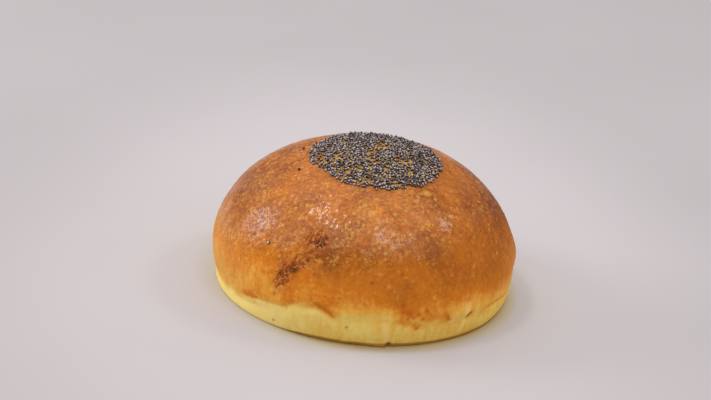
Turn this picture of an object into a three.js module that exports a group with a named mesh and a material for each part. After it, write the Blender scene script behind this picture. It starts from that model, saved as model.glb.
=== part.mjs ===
// A round bread roll, baked in one piece, with a round patch of poppy seeds pressed onto its crown
// and a few seeds that fell beside the patch. Millimetres, +Z up, -Y is the front.
// The origin is the centre of the flat underside that the roll rests on.

import * as THREE from "three";

// The roll: a low dome over a short, soft foot.
const rollWidth = 90; // across the widest part
const crownHeight = 42.5; // underside to the bare crown
const bellyHeight = 9.5; // height of the widest part
const footWidth = 84.4; // across the flat underside
const domeFullness = 2.07; // 2 is an ellipse, more gives fuller shoulders
const footFullness = 1.7;

// The plan is a little out of round, as hand-shaped dough is: each wave is a share of the radius,
// how many times it goes round, and where it peaks, in degrees.
const planWaves = [
  { share: 0.003, times: 2, peak: 20 },
  { share: 0.002, times: 3, peak: 75 },
  { share: 0.001, times: 7, peak: 10 },
];

// The seed patch: one layer of seeds, its middle a little in front of the roll's.
const patchRadius = 19.5;
const patchCentre = new THREE.Vector2(1.1, -3.5);
const patchThickness = 0.8; // how far the seeds stand out of the crust
const patchWaves = [
  { share: 0.014, times: 5, peak: 40 },
  { share: 0.01, times: 9, peak: 0 },
];

// Stray seeds: where each lies, seen from above, and how far its long side is turned, in degrees.
const seedSize = new THREE.Vector3(1.1, 0.8, 0.8);
const straySeeds = [
  { x: -20.5, y: -12.6, turn: 35 },
  { x: -20.4, y: 1.6, turn: -20 },
  { x: -26.4, y: -31.9, turn: 70 },
];

const gap = 0.3; // clearance between the seeds and the crust under them

// How finely the shapes are divided.
const rollSides = 60;
const footSteps = 5;
const domeSteps = 24;
const patchSides = 48;
const patchRings = 9;
const rimSteps = 4;
const seedSides = 10;
const seedRings = 6;

const rollRadius = rollWidth / 2;
const domeHeight = crownHeight - bellyHeight;

// How much wider or narrower than round an outline is, in the direction of a point seen from above.
function outOfRound(waves, x, y) {
  const around = Math.atan2(y, x);
  let factor = 1;
  for (const wave of waves) {
    const peak = THREE.MathUtils.degToRad(wave.peak);
    factor += wave.share * Math.cos(wave.times * (around - peak));
  }
  return factor;
}

// Height of the dome over a point seen from above.
function domeSurface(x, y) {
  const share = Math.hypot(x, y) / (rollRadius * outOfRound(planWaves, x, y));
  return bellyHeight + domeHeight * (1 - share ** domeFullness) ** (1 / domeFullness);
}

// The way the crust faces there.
function crustNormal(x, y) {
  const step = 0.05;
  const slopeX = (domeSurface(x + step, y) - domeSurface(x - step, y)) / (2 * step);
  const slopeY = (domeSurface(x, y + step) - domeSurface(x, y - step)) / (2 * step);
  return new THREE.Vector3(-slopeX, -slopeY, 1).normalize();
}

// The point that far above the crust, straight out from it.
function aboveCrust(x, y, distance) {
  const onCrust = new THREE.Vector3(x, y, domeSurface(x, y));
  return onCrust.addScaledVector(crustNormal(x, y), distance);
}

// A lathe stands on Y, and the roll stands on Z.
function turnedShape(profile, sides) {
  return new THREE.LatheGeometry(profile, sides).rotateX(Math.PI / 2);
}

// Moves every point of a geometry to where place(x, y, z) says.
function reshape(geometry, place) {
  const points = geometry.getAttribute("position");
  for (let i = 0; i < points.count; i++) {
    const moved = place(points.getX(i), points.getY(i), points.getZ(i));
    points.setXYZ(i, moved.x, moved.y, moved.z);
  }
  geometry.computeVertexNormals();
  return geometry;
}

// The roll's half section: out along the underside, round the foot, and over the dome.
function rollProfile() {
  const footRadius = footWidth / 2;
  const profile = [new THREE.Vector2(0, 0)];
  for (let i = 0; i < footSteps; i++) {
    const up = i / footSteps;
    const out = (1 - (1 - up) ** footFullness) ** (1 / footFullness);
    profile.push(new THREE.Vector2(footRadius + (rollRadius - footRadius) * out, bellyHeight * up));
  }
  for (let i = 0; i < domeSteps; i++) {
    const angle = ((Math.PI / 2) * i) / domeSteps;
    const out = Math.cos(angle) ** (2 / domeFullness);
    const up = Math.sin(angle) ** (2 / domeFullness);
    profile.push(new THREE.Vector2(rollRadius * out, bellyHeight + domeHeight * up));
  }
  profile.push(new THREE.Vector2(0, crownHeight));
  return profile;
}

function makeRoll() {
  const geometry = reshape(turnedShape(rollProfile(), rollSides), (x, y, z) => {
    const factor = outOfRound(planWaves, x, y);
    return new THREE.Vector3(x * factor, y * factor, z);
  });
  const material = new THREE.MeshStandardMaterial({ color: "#c27a3e", roughness: 0.4, metalness: 0 });
  return new THREE.Mesh(geometry, material);
}

function seedMaterial() {
  return new THREE.MeshStandardMaterial({ color: "#4b4648", roughness: 0.6, metalness: 0 });
}

// The patch starts as a flat disc with a rounded rim, then every point is lifted onto the crust.
function makeSeedPatch() {
  const half = patchThickness / 2;
  const profile = [];
  for (let i = 0; i < patchRings; i++) {
    profile.push(new THREE.Vector2(((patchRadius - half) * i) / patchRings, 0));
  }
  for (let i = 0; i <= rimSteps; i++) {
    const angle = (Math.PI * i) / rimSteps;
    profile.push(
      new THREE.Vector2(patchRadius - half + half * Math.sin(angle), half - half * Math.cos(angle)),
    );
  }
  for (let i = patchRings - 1; i >= 0; i--) {
    profile.push(new THREE.Vector2(((patchRadius - half) * i) / patchRings, patchThickness));
  }
  const geometry = reshape(turnedShape(profile, patchSides), (x, y, z) => {
    const factor = outOfRound(patchWaves, x, y);
    return aboveCrust(patchCentre.x + x * factor, patchCentre.y + y * factor, gap + z);
  });
  return new THREE.Mesh(geometry, seedMaterial());
}

// A seed lies on its side on the crust.
function makeStraySeed(place) {
  const geometry = new THREE.SphereGeometry(0.5, seedSides, seedRings).scale(...seedSize);
  const seed = new THREE.Mesh(geometry, seedMaterial());
  seed.position.copy(aboveCrust(place.x, place.y, gap + seedSize.z / 2));
  seed.quaternion.setFromUnitVectors(new THREE.Vector3(0, 0, 1), crustNormal(place.x, place.y));
  seed.rotateZ(THREE.MathUtils.degToRad(place.turn));
  return seed;
}

const breadRoll = new THREE.Group();

function add(mesh, name) {
  mesh.name = name;
  breadRoll.add(mesh);
}

add(makeRoll(), "roll");
add(makeSeedPatch(), "poppy_seed_patch");
straySeeds.forEach((place, i) => add(makeStraySeed(place), `stray_seed_${i + 1}`));

export default breadRoll;
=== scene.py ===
import math
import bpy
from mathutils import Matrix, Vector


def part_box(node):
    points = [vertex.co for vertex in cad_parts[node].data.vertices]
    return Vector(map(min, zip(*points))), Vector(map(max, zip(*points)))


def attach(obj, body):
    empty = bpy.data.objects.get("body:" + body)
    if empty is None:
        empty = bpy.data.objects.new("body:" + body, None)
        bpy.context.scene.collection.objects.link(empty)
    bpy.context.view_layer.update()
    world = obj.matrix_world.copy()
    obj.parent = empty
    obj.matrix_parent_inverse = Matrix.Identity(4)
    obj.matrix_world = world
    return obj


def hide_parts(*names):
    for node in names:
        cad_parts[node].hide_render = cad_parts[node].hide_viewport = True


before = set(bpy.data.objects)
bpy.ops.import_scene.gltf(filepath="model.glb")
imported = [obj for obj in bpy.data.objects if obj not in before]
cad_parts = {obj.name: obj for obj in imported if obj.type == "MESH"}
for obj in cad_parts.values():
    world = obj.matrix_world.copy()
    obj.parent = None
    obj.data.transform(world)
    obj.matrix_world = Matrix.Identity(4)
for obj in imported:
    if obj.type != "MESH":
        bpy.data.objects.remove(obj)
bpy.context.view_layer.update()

from types import SimpleNamespace

import bpy
import numpy as np
from mathutils import Euler, Matrix, Vector, noise
from mathutils.bvhtree import BVHTree
from mathutils.kdtree import KDTree

mm = 0.001
rollLow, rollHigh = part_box("roll")
patchLow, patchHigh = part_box("poppy_seed_patch")
patchMiddle = (patchLow + patchHigh) / 2
print("bread roll: frame loaded, CAD box", [round(v / mm, 1) for v in rollHigh - rollLow], "mm")


# small helpers for node trees

def addNode(tree, kind, at, inputs=None, **settings):
    node = tree.nodes.new(kind)
    node.location = at
    for name, value in settings.items():
        setattr(node, name, value)
    for socket, value in (inputs or {}).items():
        if isinstance(value, bpy.types.NodeSocket):
            tree.links.new(value, node.inputs[socket])
        else:
            node.inputs[socket].default_value = value
    return node


def maths(tree, operation, at, first, second=0.0, third=0.0, clamp=False):
    inputs = {0: first, 1: second, 2: third}
    return addNode(tree, "ShaderNodeMath", at, inputs, operation=operation, use_clamp=clamp).outputs[0]


def mixColours(tree, at, factor, first, second, blend="MIX"):
    inputs = {0: factor, 6: first, 7: second}
    return addNode(tree, "ShaderNodeMix", at, inputs, data_type="RGBA", blend_type=blend).outputs[2]


def fade(tree, at, value, low, high, toLow=0.0, toHigh=1.0):
    # 0 below low, 1 above high, eased in between
    inputs = {"Value": value, "From Min": low, "From Max": high, "To Min": toLow, "To Max": toHigh}
    return addNode(tree, "ShaderNodeMapRange", at, inputs, interpolation_type="SMOOTHSTEP").outputs[0]


def cloud(tree, at, vector, size, detail=3.0, roughness=0.5, distortion=0.0):
    # soft noise whose lumps are about that many metres across
    inputs = {"Vector": vector, "Scale": 1 / size, "Detail": detail, "Roughness": roughness,
              "Distortion": distortion}
    return addNode(tree, "ShaderNodeTexNoise", at, inputs).outputs[0]


def readMask(tree, at, name):
    return addNode(tree, "ShaderNodeAttribute", at, attribute_name=name).outputs["Fac"]


def newMaterial(name):
    material = bpy.data.materials.new(name)
    material.use_nodes = True
    tree = material.node_tree
    tree.nodes.clear()
    surface = addNode(tree, "ShaderNodeOutputMaterial", (1200, 0))
    shader = addNode(tree, "ShaderNodeBsdfPrincipled", (900, 0))
    tree.links.new(shader.outputs[0], surface.inputs[0])
    return material, tree, shader


def newGroup(name, inputs, outputs):
    # inputs and outputs are {name: (socket type, default)}
    group = bpy.data.node_groups.new(name, "ShaderNodeTree")
    for socketName, (kind, default) in inputs.items():
        socket = group.interface.new_socket(socketName, in_out="INPUT", socket_type=kind)
        if default is not None:
            socket.default_value = default
    for socketName, (kind, default) in outputs.items():
        group.interface.new_socket(socketName, in_out="OUTPUT", socket_type=kind)
    return group, addNode(group, "NodeGroupInput", (-600, 0)), addNode(group, "NodeGroupOutput", (800, 0))


# the roll's shape, in millimetres

rollForm = {
    "bellyHeight": 9.5,  # height of the widest part
    "footWidth": 84.4,  # across the flat underside
    "domeFullness": 2.07,  # 2 is an ellipse, more gives fuller shoulders
    "footFullness": 1.7,
    "planWaves": [(0.003, 2, 20), (0.002, 3, 75), (0.001, 7, 10)],  # share, times round, peak
    "sides": 576,
    "crustStep": 0.45,  # between rings where the crust shows
    "crownStep": 1.1,  # under the seeds
    "crownRadius": 15.0,
    "undersideStep": 3.0,
    "undersideEdge": 2.0,  # rings lie closer this near the foot's edge
    "poleGap": 0.4,  # from the last ring to the middle of the crown
}

belly = rollForm["bellyHeight"] * mm
rollRadius = (rollHigh.x - rollLow.x + rollHigh.y - rollLow.y) / 4
crownHeight = rollHigh.z
domeHeight = crownHeight - belly
footRadius = rollForm["footWidth"] * mm / 2


def outOfRound(around):
    factor = np.ones_like(around)
    for share, times, peak in rollForm["planWaves"]:
        factor += share * np.cos(times * (around - math.radians(peak)))
    return factor


def halfSection():
    # the roll's outline from the middle of the underside to the crown, finely divided, in metres
    points = [(0.0, 0.0)]
    for up in np.linspace(0, 1, 60)[:-1]:
        out = (1 - (1 - up) ** rollForm["footFullness"]) ** (1 / rollForm["footFullness"])
        points.append((footRadius + (rollRadius - footRadius) * out, belly * up))
    power = 2 / rollForm["domeFullness"]
    for angle in np.linspace(0, math.pi / 2, 300)[:-1]:
        out, up = math.cos(angle) ** power, math.sin(angle) ** power
        points.append((rollRadius * out, belly + domeHeight * up))
    points.append((0.0, crownHeight))
    return np.array(points)


def ringStops(section):
    # where along the section the rings lie: wide apart below and under the seeds, fine on the crust
    lengths = np.concatenate([[0], np.cumsum(np.hypot(*np.diff(section, axis=0).T))])
    total = lengths[-1]
    nearEdge = footRadius - rollForm["undersideEdge"] * mm
    crownAt = total - rollForm["crownRadius"] * mm
    below = np.arange(rollForm["undersideStep"] * mm, nearEdge, rollForm["undersideStep"] * mm)
    edge = np.linspace(nearEdge, footRadius, 4)[:-1]
    crust = np.arange(footRadius, crownAt, rollForm["crustStep"] * mm)
    crown = np.arange(crownAt, total - rollForm["poleGap"] * mm, rollForm["crownStep"] * mm)
    stops = np.concatenate([below, edge, crust, crown])
    return stops, lengths, len(below) + len(edge)


# what the oven and the baker's hands left on the crust: places in millimetres, -Y is the front

crustMarks = {
    # scorched patches: middle, reach along the crust, reach up, strength
    "scorched": [((-13.6, -36.3, 27.0), 4.8, 4.6, 1.0), ((-21.7, -38.4, 16.6), 3.8, 6.6, 1.0),
                 ((-24.8, -31.0, 26.1), 3.2, 3.4, 0.45), ((-16.6, -38.5, 21.3), 4.8, 2.6, 0.75),
                 ((-18.6, -38.6, 20.4), 3.2, 2.0, 0.95), ((4.8, -43.0, 0.3), 3.4, 0.9, 0.5)],
    # redder crust round them, the burnt spots in them, and painted shade in the torn notch: middle, reach
    "halo": [((-15.0, -36.0, 26.0), 9.0), ((-7.0, -39.5, 25.0), 8.0), ((-20.0, -37.5, 20.0), 7.0)],
    "charCoresAndNotchShade": [((-12.0, -37.1, 26.7), 1.9), ((-10.9, -36.6, 28.1), 1.2), ((-19.0, -39.0, 18.8), 2.0),
                  ((-20.6, -39.0, 17.8), 1.2), ((-22.6, -38.0, 17.0), 0.8), ((-21.9, -38.6, 14.0), 0.7),
                  # the last spot lies in the torn notch at the bottom edge: painted shade in the hole
                  ((9.0, -42.3, 0.5), 1.2)],
    # a long dent in the front shoulder, between the scorched patches
    "dent": [(-7.5, -39.9, 24.8), (-12.8, -39.5, 22.8), (-18.6, -38.9, 19.4)],
    # folds in the skin: line, depth (less than 0 is a ridge), width
    "creases": [
        ([(-20.4, -39.9, 13.2), (-20.6, -40.1, 10.4), (-19.7, -40.4, 7.4)], 0.22, 0.6),
        ([(-33.6, -29.4, 5.5), (-28.9, -34.2, 6.8), (-20.8, -39.9, 8.0), (-17.8, -41.3, 10.0)], 0.22, 0.55),
        ([(-31.1, -32.4, 5.0), (-26.8, -36.1, 5.8), (-20.8, -40.1, 6.7)], -0.15, 0.7),
        ([(-15.4, -42.2, 8.9), (-11.6, -43.5, 10.8), (-8.5, -44.2, 9.7), (-6.8, -44.4, 8.5)], 0.25, 0.5),
        ([(36.0, -26.7, 7.3), (38.9, -22.2, 7.1), (41.3, -17.3, 6.5), (42.5, -13.5, 6.4)], 0.55, 0.75),
        ([(30.1, -33.2, 7.0), (31.2, -32.4, 8.2)], 0.4, 0.5),
    ],
    # pale blisters: middle, radius
    "blisters": [((1.0, -30.7, 34.4), 1.3), ((2.8, -32.3, 33.2), 0.9), ((-1.1, -28.7, 35.7), 0.8),
                 ((15.8, -19.8, 37.5), 1.4), ((20.3, -39.6, 15.0), 0.8), ((-31.5, -28.5, 20.0), 0.6)],
    "specks": [(-29.0, -34.3, 7.3), (-23.3, -36.9, 2.1), (20.0, -31.1, 29.2), (19.4, -36.0, 24.1),
               (10.9, -40.9, 21.5), (2.8, -43.2, 19.3), (-2.9, -44.3, 6.0)],
    # small toasted marks: line, reach
    "toastedLines": [([(30.3, -33.1, 7.2), (31.1, -32.5, 8.1)], 0.6),
                     ([(-1.5, -43.0, 0.1), (4.0, -43.2, 0.1), (8.4, -42.8, 0.2)], 0.75)],
    "toastedDots": [(11.8, -43.2, 13.4), (12.1, -43.3, 11.5), (13.8, -42.7, 11.4), (14.2, -42.6, 10.4),
                    (15.0, -42.4, 9.7), (24.5, -37.8, 9.0), (24.8, -37.4, 7.9), (24.6, -37.6, 8.5)],
    "dotPatch": ((15.5, -42.2, 9.8), 4.0),  # where more of them lie, and how far they spread
    "randomDots": 6,
    "toastedSmears": [([(-11.5, -43.4, 11.6), (-9.1, -44.1, 10.4), (-6.9, -44.5, 9.0)], 0.9),
                      ([(12.1, -42.8, 15.0), (13.0, -42.9, 11.5), (19.0, -40.8, 9.6), (23.5, -38.4, 9.2)],
                       2.0),
                      ([(10.8, -43.4, 8.6), (16.5, -41.6, 6.9)], 1.1),
                      ([(-31.9, -31.0, 6.9), (-30.0, -33.0, 7.4)], 1.2)],
    "paleStreaks": [[(7.3, -44.1, 7.5), (7.9, -43.6, 4.0), (8.4, -42.8, 1.8)],
                    [(30.6, -32.9, 11.2), (30.1, -33.5, 8.8)],
                    [(29.6, -33.4, 5.8), (29.0, -33.4, 3.4)],
                    [(-28.9, -34.4, 6.2), (-24.5, -37.7, 7.1), (-20.8, -39.9, 7.4)],
                    [(-15.4, -42.2, 7.5), (-11.6, -43.5, 9.1), (-8.5, -44.2, 8.0), (-6.6, -44.4, 6.7)]],
    # how high the pale foot reaches, by azimuth in degrees
    "footLine": [(-180, 5.5), (-164, 3.2), (-152, 2.6), (-143, 3.4), (-135, 5.0), (-127, 6.2), (-119.6, 7.5),
                 (-117.5, 7.5), (-113.3, 9.6), (-108, 10.7), (-105.5, 10.7), (-101.7, 9.2), (-98.3, 8.2),
                 (-93, 8.4), (-86, 9.6), (-75, 8.4), (-63, 7.0), (-55, 7.2), (-47, 7.4), (-40, 6.9),
                 (-32, 6.4), (-22, 6.2), (-14, 7.2), (10, 8.4), (45, 7.4), (80, 8.6), (120, 7.2), (150, 7.6)],
    # where the glaze ends and the soft side begins, by azimuth in degrees
    "glazeLine": [(-180, 19.0), (-158, 18.0), (-142, 19.5), (-126, 22.5), (-108, 24.6), (-92, 25.2),
                  (-76, 25.0), (-60, 25.4), (-46, 27.5), (-25, 29.0), (0, 26.0), (40, 21.0), (90, 19.5),
                  (140, 20.0)],
    "notch": (9.0, -42.4, 0.7),
    "randomBlisters": 620,
    "blisterRadius": (0.32, 0.42),  # of the random ones: the least, and how much more
    "blisterStrength": (0.3, 0.45),
    "randomSpecks": 26,
    "speckReach": 0.6,
    "dice": 41,
}

# stretches of the side by azimuth in degrees: eased in between the first two, out between the last two
crustStretches = {
    "front": (-122, -100, -58, -34),
    "frontFoot": (-128, -105, 10, 40),
    # where the browning fades slowly into the foot
    "softFront": (-104, -96, 130, 170),
    "softEdge": (-80, -52, 20, 60),
    "softRight": (-78, -64, -36, -20),
    "smooth": (-80, -66, 0, 25),  # fewer wrinkles
    "dull": (-66, -46, 0, 25),  # the baker's brush left less glaze here
    "rightLip": (-42, -24, -8, 12),
}

# how far the crust stands out or lies in, in millimetres
crustRelief = {
    "lumps": [(0.34, 30, 3.1), (0.13, 11, 7.7)],  # how far, how wide, noise shift
    "leftMiddle": -160,  # azimuth of the left hollow
    "leftReach": 27,  # degrees to either side of it
    # bands round the side: how far, at what height, how tall
    "shoulder": (0.36, 27.4, 3.4),
    "underShoulder": (-0.3, 22.8, 2.2),
    "leftHollow": (-1.05, 4.6, 6.0),
    "rightLip": (0.5, 16.5, 3.6),
    "underRightLip": (-0.5, 10.0, 3.0),
    "notchLip": (0.8, 0.3, 0.6),
    "bottomEdge": (0.35, 0.0, 1.1),
    # bands whose height is counted from the foot line
    "footFold": (0.2, 1.6, 1.8),
    "underFootFold": (-0.16, -1.0, 1.3),
    "dent": 0.4,
    "scorch": 0.1,
    "charAndNotchShade": 0.14,
    "notch": 1.6,
    "wrinkles": 0.075,
    "grain": (0.014, 0.05),  # on the smooth side, and more where it is wrinkled
    "blisters": 0.11,
    "undersidePits": 0.5,
}

# what each part of the crust adds to the browning, along with some painted shade: 0 is the pale foot, 1 the
# deepest crust
crustBrowningAndShade = {
    "side": 0.42,
    "leftSide": -0.13,
    "frontFoot": 0.09,
    "dome": 0.18,
    "leftDome": 0.2,
    "crown": 0.07,
    "right": 0.08,
    "farRight": 0.25,
    "lowRight": 0.07,
    "farLeft": 0.1,
    # painted shade: a darker band under the front shoulder
    "paintedShadeUnderShoulder": 0.15,
    "shoulder": 0.07,
    "halo": 0.14,
    # painted shade along the dent and in the creases
    "dent": 0.1,
    "crease": 0.1,
    "smear": 0.16,
}


def bump(distance, width):
    return np.exp(-((distance / width) ** 2))


def step(value, low, high):
    share = np.clip((value - low) / (high - low), 0, 1)
    return share * share * (3 - 2 * share)


def noiseAt(points, size, octaves=2, shift=0.0):
    move = Vector((shift, -shift, 2 * shift))
    return np.array([noise.fractal(Vector(p) / size + move, 1.0, 2.0, octaves) for p in points])


def stretch(degrees, name):
    easeIn, whole, easeOut, gone = crustStretches[name]
    return step(degrees, easeIn, whole) * (1 - step(degrees, easeOut, gone))


def band(height, name):
    amount, middle, reach = crustRelief[name]
    return amount * bump(height - middle, reach)


def distanceTo(points, place):
    return np.linalg.norm(points - np.array(place) * mm, axis=1)


def distanceToLine(points, line):
    nearest = np.full(len(points), 1e9)
    line = np.array(line, float) * mm
    for start, end in zip(line[:-1], line[1:]):
        along = end - start
        share = np.clip((points - start) @ along / (along @ along), 0, 1)
        nearest = np.minimum(nearest, np.linalg.norm(points - start - share[:, None] * along, axis=1))
    return nearest


def aroundCurve(azimuth, table):
    # a smooth closed curve through a few (degrees, value) points
    angles = np.radians([a for a, _ in table])
    values = np.array([v for _, v in table], float)
    angles = np.concatenate([angles - 2 * math.pi, angles, angles + 2 * math.pi])
    values = np.tile(values, 3)
    slot = np.clip(np.searchsorted(angles, azimuth) - 1, 0, len(angles) - 2)
    share = (azimuth - angles[slot]) / (angles[slot + 1] - angles[slot])
    share = share * share * (3 - 2 * share)
    return values[slot] + (values[slot + 1] - values[slot]) * share


def measureCrust(points, azimuth):
    # where each point lies, in millimetres and degrees
    height = points[:, 2] / mm
    degrees = np.degrees(azimuth)
    footLine = aroundCurve(azimuth, crustMarks["footLine"]) + 0.7 * noiseAt(points, 3.5 * mm, 4, 5.2)
    glazeLine = aroundCurve(azimuth, crustMarks["glazeLine"]) - 1.4 * noiseAt(points, 5 * mm, 3, 8.1)
    return SimpleNamespace(
        points=points,
        height=height,
        degrees=degrees,
        toRight=points[:, 0] / rollRadius,
        overFoot=height - footLine,
        overGlazeLine=height - glazeLine,
        front=stretch(degrees, "front"),
        # the bands on the front shoulder rise and fall a little
        wander=0.9 * np.sin(np.radians(degrees * 5)) + 0.6 * np.sin(np.radians(degrees * 11 + 40)),
        ragged=1 + 0.5 * noiseAt(points, 1.9 * mm, 2, 6.6),
    )


def shapeDough(skin):
    # how far the loaf stands out or lies in, before its skin is wrinkled
    points, height = skin.points, skin.height
    clearOfFoot = step(height, 0.2, 4.0)
    lift = np.zeros(len(points))
    for amount, size, shift in crustRelief["lumps"]:
        lift += amount * noiseAt(points, size * mm, 2, shift) * clearOfFoot

    # the front shoulder: full above, drawn in below
    onFront = height - skin.wander
    lift += skin.front * (band(onFront, "shoulder") + band(onFront, "underShoulder"))

    # the left side draws in above the foot
    fromLeft = np.abs((skin.degrees - crustRelief["leftMiddle"] + 180) % 360 - 180)
    lift += bump(fromLeft, crustRelief["leftReach"]) * band(height, "leftHollow") * clearOfFoot

    # the crust hangs a little over the pale foot
    lift += (band(skin.overFoot, "footFold") + band(skin.overFoot, "underFootFold")) * clearOfFoot
    lift += stretch(skin.degrees, "rightLip") * (band(height, "rightLip") + band(height, "underRightLip"))

    # torn notch in the skin at the bottom edge, with a lip beside it
    lift -= crustRelief["notch"] * bump(distanceTo(points, crustMarks["notch"]), 0.5 * mm)
    across = points[:, 0] / mm - crustMarks["notch"][0]
    lipPart = step(across, -9, -1.5) * (1 - step(across, -0.9, -0.3)) * (points[:, 1] < 0)
    lift += lipPart * band(height, "notchLip")
    return lift + band(height, "bottomEdge")


def scorchMasks(skin):
    scorch, charAndNotchShade, halo = np.zeros((3, len(skin.points)))
    for centre, across, up, strength in crustMarks["scorched"]:
        away = skin.points / mm - np.array(centre)
        distance = np.sqrt((away[:, 0] ** 2 + away[:, 1] ** 2) / across**2 + (away[:, 2] / up) ** 2)
        scorch = np.maximum(scorch, strength * (1 - step(distance / skin.ragged, 0.0, 1.25)))
    for centre, reach in crustMarks["charCoresAndNotchShade"]:
        distance = distanceTo(skin.points, centre) / (reach * mm * skin.ragged)
        charAndNotchShade = np.maximum(charAndNotchShade, 1 - step(distance, 0.2, 1.15))
    for centre, reach in crustMarks["halo"]:
        halo = np.maximum(halo, bump(distanceTo(skin.points, centre) / skin.ragged, reach * mm))
    return scorch, charAndNotchShade, halo


def skinMasks(skin, scorch):
    # how wrinkled and how glazed the skin is
    dull = stretch(skin.degrees, "dull")
    smooth = stretch(skin.degrees, "smooth") * (1 - step(skin.height, 27, 33))
    crinkle = step(skin.overGlazeLine, -8, 2)
    crinkle *= 0.6 + 0.4 * step(noiseAt(skin.points, 8 * mm, 2, 9.4), -0.25, 0.3)
    crinkle *= 1 - np.maximum(0.45 * dull, 0.6 * smooth)
    crinkle = np.maximum(crinkle, 0.2 * step(skin.height, 9, 14))
    crinkle = np.maximum(crinkle, 0.8 * scorch)
    glaze = step(skin.overGlazeLine, -1.6, 2.6) * (1 - 0.6 * dull) * (1 - 0.6 * scorch)
    glaze *= 0.6 + 0.4 * step(noiseAt(skin.points, 7 * mm, 2, 2.7), -0.2, 0.25)
    return crinkle, glaze


def scatterMarks(skin, crinkle):
    # blisters, char specks and toasted dots: some in their own places, the rest at random
    points = skin.points
    tree = KDTree(len(points))
    for index, point in enumerate(points):
        tree.insert(point, index)
    tree.balance()
    dice = np.random.default_rng(crustMarks["dice"])
    chance = np.hypot(points[:, 0], points[:, 1]) * step(skin.height, 9, 20) * (0.3 + 0.7 * crinkle)
    chance /= chance.sum()

    blister, speck, toasted = np.zeros((3, len(points)))
    picks = dice.choice(len(points), crustMarks["randomBlisters"], False, chance)
    leastRadius, moreRadius = crustMarks["blisterRadius"]
    leastStrength, moreStrength = crustMarks["blisterStrength"]
    marks = []
    for pick in picks:
        radius = leastRadius + moreRadius * dice.random() ** 3
        marks.append((points[pick], radius, leastStrength + moreStrength * dice.random()))
    marks += [(np.array(centre) * mm, radius, 0.9) for centre, radius in crustMarks["blisters"]]
    for centre, radius, strength in marks:
        reach = radius * mm * 1.2
        for _, index, distance in tree.find_range(centre, reach):
            height = max(0.0, 1 - (distance / reach) ** 2) ** 1.3
            blister[index] = max(blister[index], strength * height)

    picks = dice.choice(len(points), crustMarks["randomSpecks"], False, chance)
    marks = [(np.array(place) * mm, 1.0) for place in crustMarks["specks"]]
    marks += [(points[pick], 0.8) for pick in picks]
    reach = crustMarks["speckReach"] * mm
    for place, strength in marks:
        for _, index, distance in tree.find_range(place, reach):
            speck[index] = max(speck[index], strength * min(1.0, 1.6 * (1 - distance / reach)))

    dotCentre, dotSpread = crustMarks["dotPatch"]
    inDots = bump(distanceTo(points, dotCentre), dotSpread * mm) * (skin.overFoot > -3)
    picks = dice.choice(len(points), crustMarks["randomDots"], False, inDots / inDots.sum())
    dots = [np.array(place) * mm for place in crustMarks["toastedDots"]] + [points[pick] for pick in picks]
    for place in dots:
        toasted = np.maximum(toasted, bump(np.linalg.norm(points - place, axis=1), 0.55 * mm))
    for line, reach in crustMarks["toastedLines"]:
        toasted = np.maximum(toasted, bump(distanceToLine(points, line), reach * mm))
    return blister, speck, toasted


def creamStreaksAndRimSheen(skin):
    # pale creamy streaks, and a painted rim sheen on the outermost sides
    creamMarksAndSheen = np.zeros(len(skin.points))
    for line in crustMarks["paleStreaks"]:
        creamMarksAndSheen = np.maximum(creamMarksAndSheen, 0.6 * bump(distanceToLine(skin.points, line), 0.8 * mm))
    # painted rim sheen: the crust at the far left and far right is paler and creamier, most of all on the
    # left
    paintedRimSheen = np.maximum(step(-skin.toRight, 0.6, 0.98), 0.7 * step(skin.toRight, 0.85, 1.0))
    creamMarksAndSheen = np.maximum(creamMarksAndSheen, 0.22 * paintedRimSheen * (1 - step(skin.height, 14, 27)))
    leftFoot = step(-skin.toRight, 0.1, 0.7) * (1 - step(skin.overFoot, -2, 2))
    return np.maximum(creamMarksAndSheen, 0.6 * leftFoot)


def brownAndShadeCrust(skin, dent, crease, halo):
    # the left browned less and more gently
    amounts = crustBrowningAndShade
    height, degrees, toRight, overFoot = skin.height, skin.degrees, skin.toRight, skin.overFoot
    paler = step(-toRight, 0.1, 0.7)
    softEdge = stretch(degrees, "softEdge")
    softFront = stretch(degrees, "softFront") * (1 - softEdge)
    softRight = stretch(degrees, "softRight")
    palest = -1.6 - 1.8 * softEdge - 1.2 * softFront
    browned = 1.8 + 1.2 * paler + 5 * softEdge + 5 * softFront + 2.4 * softRight
    browningAndShade = amounts["side"] * step(overFoot, palest, browned)
    browningAndShade += amounts["leftSide"] * paler * step(overFoot, -1.6, 3)
    frontFoot = stretch(degrees, "frontFoot") * (1 - 0.6 * step(degrees, -60, -35))
    browningAndShade += amounts["frontFoot"] * frontFoot * (1 - step(overFoot, -2, 1))
    onDome = step(skin.overGlazeLine, -5 - 6 * paler, 3 + 3 * paler)
    browningAndShade += (amounts["dome"] + amounts["leftDome"] * paler) * onDome
    browningAndShade += amounts["crown"] * step(height, 29, 38)
    browningAndShade += amounts["right"] * step(toRight, 0.1, 0.45) * step(overFoot, 3, 10)
    farRight = step(toRight, 0.52, 0.85) * step(height, 13, 22) * (1 - step(degrees, 15, 50))
    browningAndShade += amounts["farRight"] * farRight
    onFront = height - skin.wander
    # painted shade: a darker band under the front shoulder
    browningAndShade += amounts["paintedShadeUnderShoulder"] * skin.front * bump(onFront - 20.6, 3.4)
    browningAndShade += amounts["shoulder"] * skin.front * bump(height - 25, 6)
    browningAndShade += amounts["halo"] * halo
    browningAndShade += amounts["farLeft"] * step(-toRight, 0.45, 0.8) * step(height, 21, 29)
    lowRight = step(toRight, 0.2, 0.6) * (1 - step(height, 6, 12)) * (1 - step(degrees, -15, 10))
    browningAndShade += amounts["lowRight"] * lowRight
    # painted shade: darker along the dent and in the creases above the foot line
    browningAndShade += amounts["dent"] * dent + amounts["crease"] * crease * step(overFoot, -2, 1)
    for line, width in crustMarks["toastedSmears"]:
        smear = bump(distanceToLine(skin.points, line) / skin.ragged, width * mm)
        browningAndShade += amounts["smear"] * smear * (1 - 0.5 * step(height, 11, 15))
    return browningAndShade


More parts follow.
